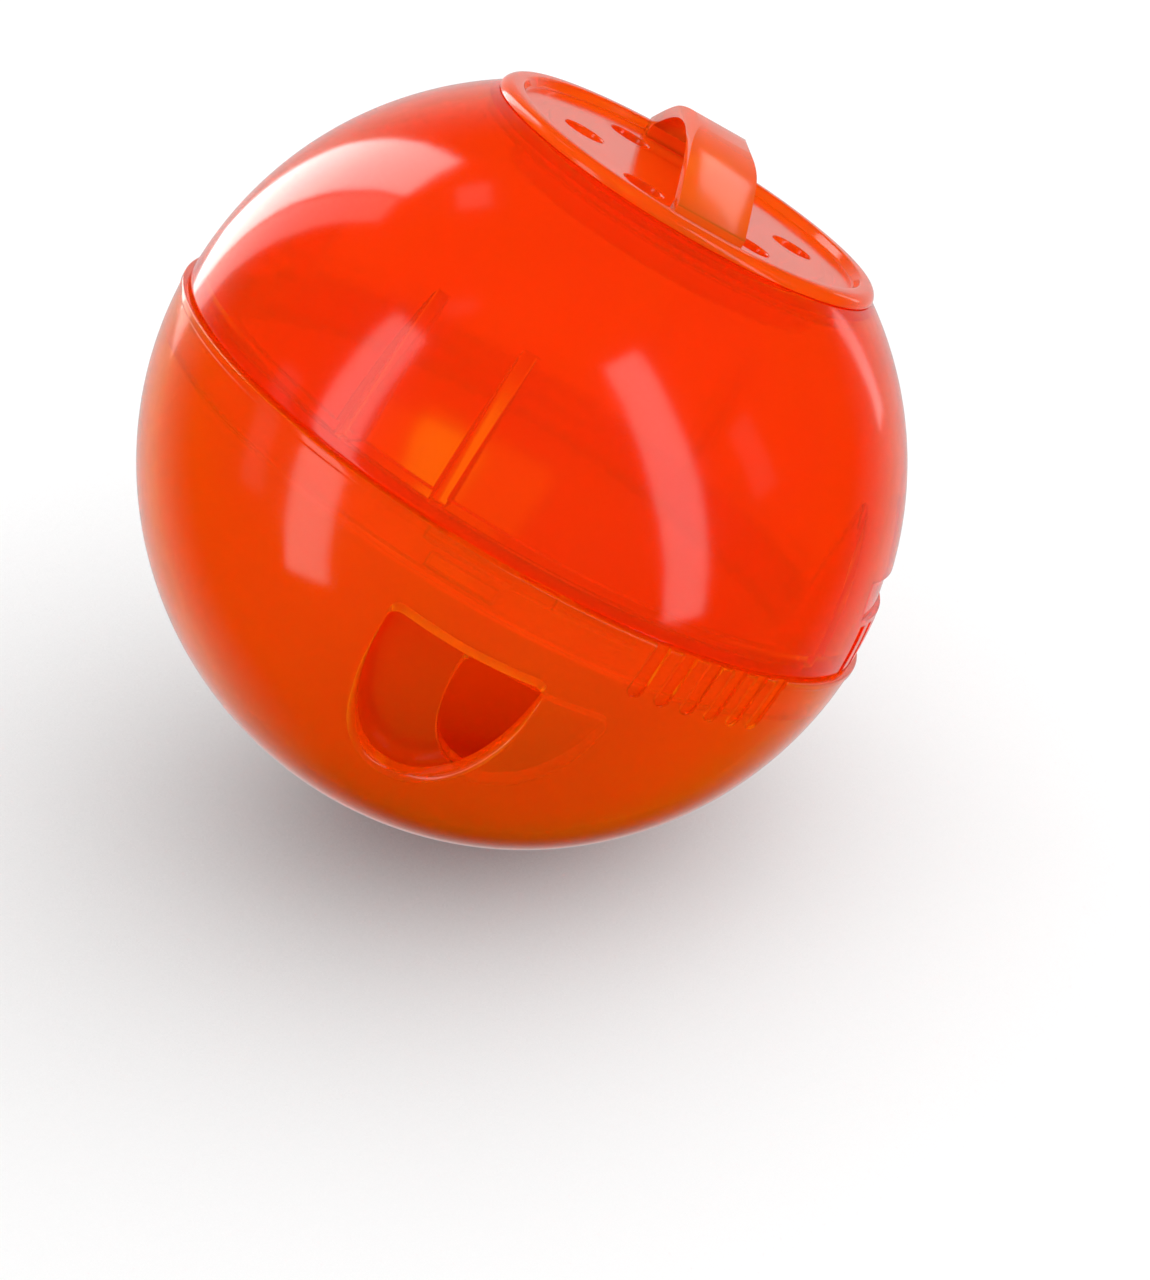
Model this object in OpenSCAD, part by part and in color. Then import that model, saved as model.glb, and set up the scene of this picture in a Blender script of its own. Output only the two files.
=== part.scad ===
// Treat dispensing ball: two outer shells, an inner shutter bowl and a plug cap with a strap handle.
// Origin at the ball's centre, +Z up through the cap, handle along Y, all sizes in millimetres.
// Angles round the ball are measured from the front (-Y) towards +X.

/* [Ball] */
// Outer diameter of the lower shell
ball_d = 76; // [66:1:90]
// Wall of the lower shell
lower_wall = 1.7; // [1.4:0.1:2.2]
// Wall of the upper shell
upper_wall = 1.6; // [1.3:0.1:2.2]
// How far the upper shell stands in from the lower one
upper_step = 0.4; // [0.2:0.1:0.8]
// Height of the lower shell's rim above the ball's centre
rim_z = 0.35; // [0.1:0.05:0.8]
// Gap between the two shells at the seam
seam_gap = 0.3; // [0.2:0.05:0.5]
// Height of the bead round the lower shell's rim
bead_h = 0.9; // [0.5:0.1:1.4]
// How far that bead stands out from the lower shell
bead_out = 0.15; // [0.1:0.05:0.3]

/* [Windows] */
// Number of dispensing windows round the ball
window_count = 2; // [1:1:4]
// Width of every window, in degrees round the ball
window_arc = 25; // [16:1:28]
// Corner radius at the flat top edge of a window
window_corner_r = 1.2; // [0.6:0.1:2]
// Where the lower shell's first window is centred, in degrees
shell_window_angle = -4; // [-10:1:0]
// Latitudes of the top and the bottom of a lower shell window
shell_window_lats = [-13.4, -41.5];
// Where the shutter bowl's first window is centred, in degrees
bowl_window_angle = 9.1; // [4:0.1:14]
// Latitudes of the top and the bottom of a shutter bowl window
bowl_window_lats = [-15.4, -36.4];

/* [Turning seam] */
// Depth of the upper shell's skirt below the ball's centre
skirt_depth = 4; // [3.4:0.1:5]
// Wall of the skirt
skirt_wall = 1.4; // [1.2:0.1:1.8]
// Gap between the skirt and the lower shell's bore
turn_clear = 0.25; // [0.15:0.05:0.35]
// Height of the band that joins the skirt to the upper shell
band_h = 2; // [1.4:0.1:3]
// Number of stop lugs on the lower shell
lug_count = 4; // [2:1:4]
// Width of a stop lug, in degrees
lug_arc = 6.6; // [4:0.2:9]
// Height of a stop lug
lug_h = 1; // [0.7:0.1:1.2]
// Depth of a stop lug's top below the rim
lug_drop = 0.6; // [0.5:0.05:0.8]
// Where the first stop lug is centred, in degrees
lug_angle = -0.2; // [-5:0.2:5]
// Gap above, below and inside a lug in its slot
lug_clear = 0.2; // [0.15:0.05:0.25]
// Turn of the lower shell from rest to fully open, in degrees
turn_to_open = 13.1; // [10:0.1:16]
// Turn of the lower shell from rest to fully shut, in degrees
turn_to_shut = 14; // [12:0.5:16]
// Spare slot at each end of that travel, in degrees
stop_spare = 0.5; // [0.2:0.1:1]

/* [Shutter bowl] */
// Wall of the bowl
bowl_wall = 1.3; // [1:0.1:1.7]
// Gap between the bowl and the lower shell
bowl_clear = 0.35; // [0.25:0.05:0.5]
// Wall of the bowl's collar
collar_wall = 1.2; // [1:0.1:1.5]
// Height of the collar's top above the ball's centre
collar_z = 1.2; // [1:0.1:1.6]
// Gap between the collar and the skirt round it
collar_clear = 0.12; // [0.08:0.02:0.2]
// Width of a snap tab on the collar, in degrees
tab_arc = 10.4; // [6:0.2:12]
// Height of a snap tab
tab_h = 1.2; // [0.8:0.1:1.3]
// Height of a snap tab's foot above the skirt's edge
tab_lift = 0.5; // [0.4:0.05:0.6]
// How far a snap tab stands out of the collar
tab_out = 0.9; // [0.6:0.1:1]
// Angle from a stop lug to its neighbouring snap tab, in degrees
tab_turn = -10.1; // [-14:0.1:-8]

/* [Guide fins] */
// Number of pairs of fins inside the upper shell
fin_pair_count = 4; // [2:1:6]
// Thickness of a fin
fin_t = 1.6; // [1.2:0.1:2]
// Distance of a fin's inner edge from the ball's axis
fin_inner_r = 31.8; // [30:0.1:32.6]
// Where the first pair of fins is centred, in degrees
fin_pair_angle = -28; // [-40:1:-20]
// Angle between the two fins of a pair, in degrees
fin_spread = 17.8; // [14:0.1:24]

/* [Finger grips] */
// Number of finger grips on each shell
grip_count = 1; // [1:1:3]
// Number of grooves in one grip
groove_count = 6; // [3:1:7]
// Width of a groove
groove_w = 1.6; // [1:0.1:2]
// Depth of a groove
groove_depth = 0.4; // [0.2:0.05:0.6]
// Angle from groove to groove, in degrees
groove_pitch = 4.85; // [4:0.05:6]
// Length of a lower shell groove below the rim
lower_groove_len = 5.8; // [4:0.1:7]
// Where the lower shell's first grip is centred, in degrees
lower_grip_angle = 32; // [28:1:50]
// Length of an upper shell groove above the seam
upper_groove_len = 5.2; // [4:0.1:7]
// Where the upper shell's first grip is centred, in degrees
upper_grip_angle = 76.5; // [70:0.5:90]
// Land between the upper grooves and the thumb recess over them
thumb_land = 0.5; // [0.3:0.1:1]
// Height of the thumb recess
thumb_h = 4; // [3:0.1:6]
// Depth of the thumb recess
thumb_depth = 0.5; // [0.3:0.05:0.6]

/* [Filler neck] */
// Width of the ledge round the bore that the cap's plug fits
ledge_w = 2.05; // [1.6:0.05:2.6]
// Height of that ledge
ledge_h = 1.5; // [1.2:0.1:2]
// Wall of the neck round the cap's disc
neck_wall = 1.55; // [1.2:0.05:1.8]

/* [Cap] */
// Outer diameter of the cap's rim
cap_d = 41.6; // [40.6:0.1:43]
// Height of the rim above its seat
cap_rim_h = 1.23; // [1:0.01:1.6]
// Width of the rim at the disc
cap_rim_w = 2.4; // [2.2:0.1:2.8]
// Slope of the rim's inner wall, as a width
cap_rim_slope = 0.4; // [0.2:0.1:0.6]
// Depth of the disc below the rim's top
disc_drop = 0.95; // [0.8:0.05:1.2]
// Thickness of the disc
disc_t = 1.5; // [1.2:0.1:1.8]
// Gap between the cap's rim and its seat
seat_gap = 0.12; // [0.05:0.01:0.2]
// Gap round the disc and below it
disc_clear = 0.25; // [0.15:0.05:0.35]
// Diameter of the six round vents
vent_d = 4.15; // [3:0.05:5]
// Distance from the disc's edge in to the circle that the vents lie on
vent_inset = 7.17; // [6:0.01:9]
// Number of vents
vent_count = 6; // [4:2:6]
// Depth of the plug below the disc
plug_depth = 4.2; // [3.5:0.1:6]
// Wall of the plug
plug_wall = 1.3; // [1:0.1:1.6]
// Gap between the plug and the neck's bore
plug_clear = 0.25; // [0.2:0.05:0.3]
// Gap between the plug's grip ring and the bore
grip_clear = 0.07; // [0.04:0.01:0.1]
// Height of that grip ring
grip_ring_h = 1; // [0.6:0.1:1.4]

/* [Strap handle] */
// Width of the strap
strap_w = 7.2; // [5:0.1:8]
// Thickness of the strap
strap_t = 1.3; // [1:0.1:1.8]
// Gap from each end of the strap to the disc's edge
strap_end_gap = 1; // [0.9:0.1:4]
// Height of the strap's outer face over the disc at its feet
strap_foot_h = 1.4; // [1:0.1:1.8]
// Rise of the strap from its feet to its crest
strap_rise = 5.2; // [4.5:0.1:7]
// Length of the solid foot at each end
strap_foot_len = 2.7; // [2.4:0.1:3.4]
// Corner radius across the crest
strap_corner_r = 1.5; // [0.8:0.1:1.8]
// Diameter of the four pegs under the feet
peg_d = 1.2; // [0.8:0.1:1.4]
// Length of a peg
peg_len = 1.2; // [0.8:0.1:1.2]
// Distance between the two pegs of a foot
peg_gap = 4; // [3:0.1:5]
// Distance of a peg from the end of its foot
peg_inset = 1.5; // [1.2:0.1:1.8]
// Gap round and below a peg in its hole
peg_clear = 0.05; // [0.03:0.01:0.1]

/* [Hidden] */
$fn = 128;

// Overrun of every cut past the face that it opens
overrun = ball_d / 76;
// Straight pieces in a drawn curve
curve_steps = 24;

lower_r = ball_d / 2;
lower_in_r = lower_r - lower_wall;
upper_r = lower_r - upper_step;
upper_in_r = upper_r - upper_wall;
seam_z = rim_z + seam_gap;

// The skirt runs in a straight bore at the lower shell's rim
rim_bore_r = lower_in_r;
rim_bore_z = -skirt_depth - bowl_clear;
skirt_r = rim_bore_r - turn_clear;
skirt_in_r = skirt_r - skirt_wall;

lug_top_z = rim_z - lug_drop;
lug_bottom_z = lug_top_z - lug_h;
lug_tip_r = skirt_in_r + lug_clear;
slot_arc_to_open = turn_to_open + lug_arc / 2 + stop_spare;
slot_arc_to_shut = turn_to_shut + lug_arc / 2 + stop_spare;

bowl_r = lower_in_r - bowl_clear;
bowl_in_r = bowl_r - bowl_wall;
collar_r = skirt_in_r - collar_clear;
collar_in_r = collar_r - collar_wall;
tab_bottom_z = -skirt_depth + tab_lift;
tab_r = collar_r + tab_out;

seat_z = sqrt(upper_r ^ 2 - (cap_d / 2) ^ 2);
cap_bottom_z = seat_z + seat_gap;
cap_top_z = cap_bottom_z + cap_rim_h;
disc_top_z = cap_top_z - disc_drop;
disc_bottom_z = disc_top_z - disc_t;
disc_r = cap_d / 2 - cap_rim_w + cap_rim_slope;
ledge_top_z = disc_bottom_z - seat_gap;
ledge_bottom_z = ledge_top_z - ledge_h;
neck_in_r = disc_r + disc_clear;
neck_bore_r = neck_in_r - ledge_w;
neck_r = neck_in_r + neck_wall;
plug_r = neck_bore_r - plug_clear;
plug_bottom_z = disc_bottom_z - plug_depth;
grip_ring_r = neck_bore_r - grip_clear;
grip_ring_z = (ledge_top_z + ledge_bottom_z - grip_ring_h) / 2;

vent_circle_r = disc_r - vent_inset;
strap_half = disc_r - strap_end_gap;
peg_y = strap_half - peg_inset;

// Turns a shape made at the front to an angle round the ball
module at_angle(angle) {
    rotate([0, 0, angle]) children();
}

// Repeats a shape evenly round the ball from a first angle
module around(count, first) {
    for (i = [0 : count - 1]) at_angle(first + i * 360 / count) children();
}

// Part of a ring, centred at the front, between two radii and two heights
module ring_sector(r_in, r_out, z_low, z_high, arc_before, arc_after) {
    rotate([0, 0, -90 - arc_before])
        rotate_extrude(angle = arc_before + arc_after)
            translate([r_in, z_low]) square([r_out - r_in, z_high - z_low]);
}

// Everything of a half plane outline between two heights
module between(z_low, z_high) {
    intersection() {
        children();
        translate([0, z_low]) square([ball_d, z_high - z_low]);
    }
}

// Half plane outline of a hollow sphere
module shell_outline(r_out, r_in) {
    difference() {
        circle(r_out);
        circle(r_in);
    }
}

// Window outline: flat top with small corners, half an ellipse below
function window_outline(half_w, height) =
    let (
        corner = window_corner_r,
        start = asin(corner / height),
        side_x = half_w * cos(start),
        centre_x = side_x - corner,
        steps = [0 : curve_steps]
    )
    concat(
        [for (i = steps) let (a = 90 - 90 * i / curve_steps) [centre_x + corner * cos(a), corner * (sin(a) - 1)]],
        [for (i = steps) let (a = -start - (180 - 2 * start) * i / curve_steps) [half_w * cos(a), height * sin(a)]],
        [for (i = steps) let (a = 180 - 90 * i / curve_steps) [corner * cos(a) - centre_x, corner * (sin(a) - 1)]]
    );

// Cutter for one window, pointing out of the ball at the middle of its latitudes
module window_cut(radius, lats) {
    middle_lat = (lats[0] + lats[1]) / 2;
    half_h = radius * sin((lats[0] - lats[1]) / 2);
    half_w = radius * cos(lats[0]) * sin(window_arc / 2);
    rotate([90 - middle_lat, 0, 0])
        linear_extrude(radius + overrun)
            translate([0, half_h]) polygon(window_outline(half_w, 2 * half_h));
}

// Grooves of one finger grip, side by side round the front
module grip_grooves(radius, z_low, z_high) {
    difference() {
        for (i = [0 : groove_count - 1])
            at_angle((i - (groove_count - 1) / 2) * groove_pitch)
                translate([-groove_w / 2, -radius - overrun, z_low])
                    cube([groove_w, radius, z_high - z_low]);
        sphere(radius - groove_depth);
    }
}

// Shallow recess over a finger grip
module thumb_recess(radius, z_low) {
    width = 2 * radius * sin(groove_count * groove_pitch / 2);
    difference() {
        translate([-width / 2, -radius - overrun, z_low]) cube([width, radius, thumb_h]);
        sphere(radius - thumb_depth);
    }
}

module lower_shell_profile() {
    difference() {
        between(-lower_r, rim_z) shell_outline(lower_r, lower_in_r);
        translate([0, rim_bore_z]) square([rim_bore_r, lower_r]);
    }
    // Bead round the rim, with a sloping lower side
    polygon([
        [rim_bore_r, rim_z],
        [lower_r + bead_out, rim_z],
        [lower_r + bead_out, rim_z - bead_h / 2],
        [lower_r - bead_out, rim_z - bead_h],
        [rim_bore_r, rim_z - bead_h]
    ]);
}

module lower_shell() {
    color([0.93, 0.22, 0.02, 0.8]) {
        difference() {
            rotate_extrude() lower_shell_profile();
            around(window_count, shell_window_angle) window_cut(lower_r, shell_window_lats);
            around(grip_count, lower_grip_angle)
                grip_grooves(lower_r, rim_z - lower_groove_len, rim_z + overrun);
        }
        around(lug_count, lug_angle)
            ring_sector(lug_tip_r, rim_bore_r + lower_wall / 2, lug_bottom_z, lug_top_z, lug_arc / 2, lug_arc / 2);
    }
}

module upper_shell_profile() {
    between(seam_z, seat_z) shell_outline(upper_r, upper_in_r);
    // Skirt, and the band that carries it
    translate([skirt_in_r, -skirt_depth]) square([skirt_wall, skirt_depth + seam_z + band_h]);
    translate([skirt_in_r, seam_z]) square([upper_in_r - skirt_in_r + upper_wall / 2, band_h]);
    // Neck with its ledge
    between(ledge_bottom_z, seat_z) {
        difference() {
            translate([neck_bore_r, ledge_bottom_z]) square([neck_r - neck_bore_r, seat_z]);
            translate([0, ledge_top_z]) square([neck_in_r, seat_z]);
        }
    }
}

module guide_fin() {
    fin_bottom_z = collar_z;
    intersection() {
        translate([-fin_t / 2, -upper_r, fin_bottom_z]) cube([fin_t, upper_r - fin_inner_r, upper_r]);
        sphere(upper_in_r + upper_wall / 2);
    }
}

module upper_shell() {
    color([1, 0.25, 0.03, 0.8])
        difference() {
            union() {
                rotate_extrude() upper_shell_profile();
                around(fin_pair_count, fin_pair_angle - fin_spread / 2) guide_fin();
                around(fin_pair_count, fin_pair_angle + fin_spread / 2) guide_fin();
            }
            // Slots that the stop lugs travel in
            around(lug_count, lug_angle)
                ring_sector(skirt_in_r - collar_clear, rim_bore_r, lug_bottom_z - lug_clear,
                    lug_top_z + lug_clear, slot_arc_to_shut, slot_arc_to_open);
            // Windows that the bowl's snap tabs click into
            around(lug_count, lug_angle + tab_turn)
                ring_sector(skirt_in_r - collar_clear, rim_bore_r, tab_bottom_z - collar_clear,
                    tab_bottom_z + tab_h + collar_clear, tab_arc / 2 + stop_spare, tab_arc / 2 + stop_spare);
            // Bore below the cap's disc stays round where the neck meets the sphere
            translate([0, 0, ledge_top_z]) cylinder(r = neck_in_r, h = lower_r);
            around(grip_count, upper_grip_angle)
                grip_grooves(upper_r, seam_z - overrun, seam_z + upper_groove_len);
            around(grip_count, upper_grip_angle)
                thumb_recess(upper_r, seam_z + upper_groove_len + thumb_land);
        }
}

module shutter_bowl_profile() {
    between(-bowl_r, -skirt_depth) shell_outline(bowl_r, bowl_in_r);
    // Collar, widening into the bowl's wall
    polygon([
        [collar_in_r, collar_z],
        [collar_r, collar_z],
        [collar_r, -skirt_depth - bowl_wall],
        [collar_in_r, -skirt_depth]
    ]);
}

module shutter_bowl() {
    color([0.82, 0.25, 0.02, 0.8]) {
        difference() {
            rotate_extrude() shutter_bowl_profile();
            around(window_count, bowl_window_angle) window_cut(bowl_r, bowl_window_lats);
        }
        around(lug_count, lug_angle + tab_turn)
            ring_sector(collar_in_r, tab_r, tab_bottom_z, tab_bottom_z + tab_h, tab_arc / 2, tab_arc / 2);
    }
}

module cap_profile() {
    rim_out_r = cap_d / 2;
    rim_in_r = rim_out_r - cap_rim_w + cap_rim_slope;
    // Disc
    translate([0, disc_bottom_z]) square([disc_r, disc_t]);
    // Rim: a rounded outer side and a sloping inner wall
    intersection() {
        translate([rim_out_r - cap_rim_h, cap_bottom_z]) circle(cap_rim_h);
        translate([0, cap_bottom_z]) square([rim_out_r, cap_rim_h]);
    }
    polygon([
        [rim_out_r - cap_rim_w, cap_bottom_z],
        [rim_out_r - cap_rim_h, cap_bottom_z],
        [rim_out_r - cap_rim_h, cap_top_z],
        [rim_in_r, cap_top_z],
        [rim_out_r - cap_rim_w, disc_top_z]
    ]);
    // Plug and its grip ring
    translate([plug_r - plug_wall, plug_bottom_z]) square([plug_wall, plug_depth + disc_t / 2]);
    translate([plug_r - plug_wall, grip_ring_z]) square([grip_ring_r - plug_r + plug_wall, grip_ring_h]);
}

// The four places of the strap's pegs
module at_pegs() {
    for (side = [-1, 1], foot = [-1, 1])
        translate([side * peg_gap / 2, foot * peg_y, disc_top_z]) children();
}

module cap() {
    color([1, 0.28, 0.05, 0.8])
        difference() {
            rotate_extrude() cap_profile();
            around(vent_count, 180 / vent_count)
                translate([0, -vent_circle_r, disc_bottom_z - overrun])
                    cylinder(d = vent_d, h = disc_t + 2 * overrun);
            at_pegs()
                translate([0, 0, -peg_len - peg_clear]) cylinder(d = peg_d + 2 * peg_clear, h = disc_t);
        }
}

// Height of the strap's outer face over the disc, at a distance from the middle
function strap_height(y) = strap_foot_h + strap_rise * cos(90 * y / strap_half);

// Point a depth below the outer face, square to it
function strap_point(y, depth) =
    let (slope = -strap_rise * sin(90 * y / strap_half) * PI / 2 / strap_half, run = sqrt(1 + slope ^ 2))
    [y + depth * slope / run, strap_height(y) - depth / run];

function strap_places() = [for (i = [-curve_steps : curve_steps]) strap_half * i / curve_steps];

module strap_side_outline() {
    difference() {
        polygon(concat(
            [[-strap_half, 0]],
            [for (y = strap_places()) strap_point(y, 0)],
            [[strap_half, 0]]
        ));
        // Hollow under the arch, between the solid feet
        intersection() {
            polygon(concat(
                [[-strap_half, -strap_rise]],
                [for (y = strap_places()) strap_point(y, strap_t)],
                [[strap_half, -strap_rise]]
            ));
            translate([strap_foot_len - strap_half, -strap_rise])
                square([2 * (strap_half - strap_foot_len), 2 * strap_rise + strap_foot_h]);
        }
    }
}

// Outline across the strap, with round corners at the crest
module strap_end_outline() {
    top = strap_foot_h + strap_rise;
    translate([-strap_w / 2, 0]) square([strap_w, top - strap_corner_r]);
    translate([strap_corner_r - strap_w / 2, 0]) square([strap_w - 2 * strap_corner_r, top]);
    for (side = [-1, 1])
        translate([side * (strap_w / 2 - strap_corner_r), top - strap_corner_r]) circle(strap_corner_r);
}

module strap_handle() {
    color([1, 0.33, 0.12, 0.8]) {
        translate([0, 0, disc_top_z])
            intersection() {
                rotate([90, 0, 90]) translate([0, 0, -strap_w])
                    linear_extrude(2 * strap_w) strap_side_outline();
                rotate([90, 0, 0]) translate([0, 0, -strap_half])
                    linear_extrude(2 * strap_half) strap_end_outline();
            }
        at_pegs() translate([0, 0, -peg_len]) cylinder(d = peg_d, h = peg_len + peg_clear);
    }
}

lower_shell();
upper_shell();
shutter_bowl();
cap();
strap_handle();
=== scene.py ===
"""Translucent treat dispensing ball, modelled over its CAD frame.

The ball is five moulded pieces: a lower shell that turns, an upper shell with the shutter bowl
snapped into it, and a plug cap with its strap handle. Each piece is a class that holds its sizes
in millimetres and angles in degrees round the ball, from the front (-Y) towards +X. A piece is
modelled in millimetres and brought to metres when it is finished.
"""

from __future__ import annotations

import logging
import math
from contextlib import contextmanager
from dataclasses import dataclass, field
from enum import Enum
from typing import Callable, Iterator, Sequence

import bmesh
import bpy
from mathutils import Matrix, Vector

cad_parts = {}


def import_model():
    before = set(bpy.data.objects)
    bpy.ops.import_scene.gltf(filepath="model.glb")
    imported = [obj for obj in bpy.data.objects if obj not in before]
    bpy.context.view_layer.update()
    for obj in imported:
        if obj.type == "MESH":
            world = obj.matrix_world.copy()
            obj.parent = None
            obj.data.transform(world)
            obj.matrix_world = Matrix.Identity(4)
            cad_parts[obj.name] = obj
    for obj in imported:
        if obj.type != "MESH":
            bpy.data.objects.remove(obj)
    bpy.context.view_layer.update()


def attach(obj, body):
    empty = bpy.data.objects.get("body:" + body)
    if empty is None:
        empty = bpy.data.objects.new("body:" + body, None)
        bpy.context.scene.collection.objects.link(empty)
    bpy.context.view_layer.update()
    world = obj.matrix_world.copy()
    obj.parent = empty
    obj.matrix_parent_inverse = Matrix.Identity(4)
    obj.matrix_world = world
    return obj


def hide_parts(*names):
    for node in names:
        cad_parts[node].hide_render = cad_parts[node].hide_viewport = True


LOG = logging.getLogger("treat_ball")
METRES_PER_MM = 0.001
MERGE_MM = 0.0004
STEP_DEG = 1.5
ROUND_STEPS = 216
BALL_RINGS = 120
HALF_TURN = (180.0,)
QUARTER_TURNS = (90.0, 180.0, 270.0)

Point = tuple[float, float]
Colour = tuple[float, float, float]
Solid = bpy.types.Object
Node = bpy.types.Node
Socket = bpy.types.NodeSocket


class Cut(Enum):
    """What a tool body does to the piece that it is set against."""

    AWAY = "DIFFERENCE"
    ONTO = "UNION"
    SHARED = "INTERSECT"


# ---- Outlines


@dataclass(frozen=True)
class Corner:
    """Corner of an outline that is turned round the ball's axis.

    Args:
        r: Distance from the axis.
        z: Height.
        rounding: Radius of the rounded corner, or zero for a sharp one.
    """

    r: float
    z: float
    rounding: float = 0.0


def sphere_arc(radius: float, first_z: float, last_z: float) -> list[Corner]:
    """Walks along a sphere's side between two heights.

    Args:
        radius: Radius of the sphere.
        first_z: Height of the first point.
        last_z: Height of the last point.

    Returns:
        The points, both ends included.
    """
    first = math.asin(max(-1.0, min(1.0, first_z / radius)))
    last = math.asin(max(-1.0, min(1.0, last_z / radius)))
    count = max(2, math.ceil(abs(math.degrees(last - first)) / STEP_DEG))
    angles = [first + (last - first) * i / count for i in range(count + 1)]
    return [Corner(max(0.0, radius * math.cos(a)), radius * math.sin(a)) for a in angles]


def on_sphere(radius: float, z: float, rounding: float = 0.0) -> Corner:
    """The corner where a sphere is cut at a height."""
    return Corner(math.sqrt(radius * radius - z * z), z, rounding)


def rounded(corners: Sequence[Corner], segments: int = 5) -> list[Point]:
    """Replaces each corner that has a rounding with a short arc.

    Args:
        corners: The closed outline.
        segments: Straight pieces in each arc.

    Returns:
        The outline's points.
    """
    points: list[Point] = []
    for index, corner in enumerate(corners):
        here = Vector((corner.r, corner.z))
        if corner.rounding <= 0:
            points.append((corner.r, corner.z))
            continue
        before, after = corners[index - 1], corners[(index + 1) % len(corners)]
        back = Vector((before.r, before.z)) - here
        ahead = Vector((after.r, after.z)) - here
        half = back.angle(ahead) / 2
        reach = min(corner.rounding / math.tan(half), 0.49 * back.length, 0.49 * ahead.length)
        back.normalize()
        ahead.normalize()
        centre = here + (back + ahead).normalized() * (reach / math.cos(half))
        start = here + back * reach - centre
        turn = start.angle_signed(here + ahead * reach - centre)
        for step in range(segments + 1):
            spoke = start.copy()
            spoke.rotate(Matrix.Rotation(-turn * step / segments, 2))
            points.append((centre.x + spoke.x, centre.y + spoke.y))
    return points


def window_outline(
    half_width: float,
    height: float,
    corner: float,
    steps: int = 64,
    bends: int = 8,
    flats: int = 12,
) -> list[Point]:
    """Outline of a dispensing window: a flat top with small corners over half an ellipse.

    Args:
        half_width: Half of the width at the top.
        height: Height from the flat top to the lowest point.
        corner: Radius of the two top corners.
        steps: Straight pieces in the half ellipse.
        bends: Straight pieces in each top corner.
        flats: Straight pieces in the flat top.

    Returns:
        The points, clockwise from the top right, with the flat top at zero height.
    """
    start = math.asin(corner / height)
    centre = half_width * math.cos(start) - corner
    points: list[Point] = []
    for i in range(bends + 1):
        a = math.pi / 2 * (1 - i / bends)
        points.append((centre + corner * math.cos(a), corner * (math.sin(a) - 1)))
    for i in range(1, steps):
        a = -start - (math.pi - 2 * start) * i / steps
        points.append((half_width * math.cos(a), height * math.sin(a)))
    for i in range(bends + 1):
        a = math.pi - math.pi / 2 * i / bends
        points.append((corner * math.cos(a) - centre, corner * (math.sin(a) - 1)))
    for i in range(1, flats):
        points.append((-centre + 2 * centre * i / flats, 0.0))
    return points


def outward(points: Sequence[Point]) -> list[Vector]:
    """The unit normals of a clockwise outline, pointing out of it."""
    normals = []
    for index in range(len(points)):
        ahead = Vector(points[(index + 1) % len(points)]) - Vector(points[index - 1])
        normals.append(Vector((-ahead.y, ahead.x)).normalized())
    return normals


# ---- The bench: modelling steps done the way they are done by hand


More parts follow.
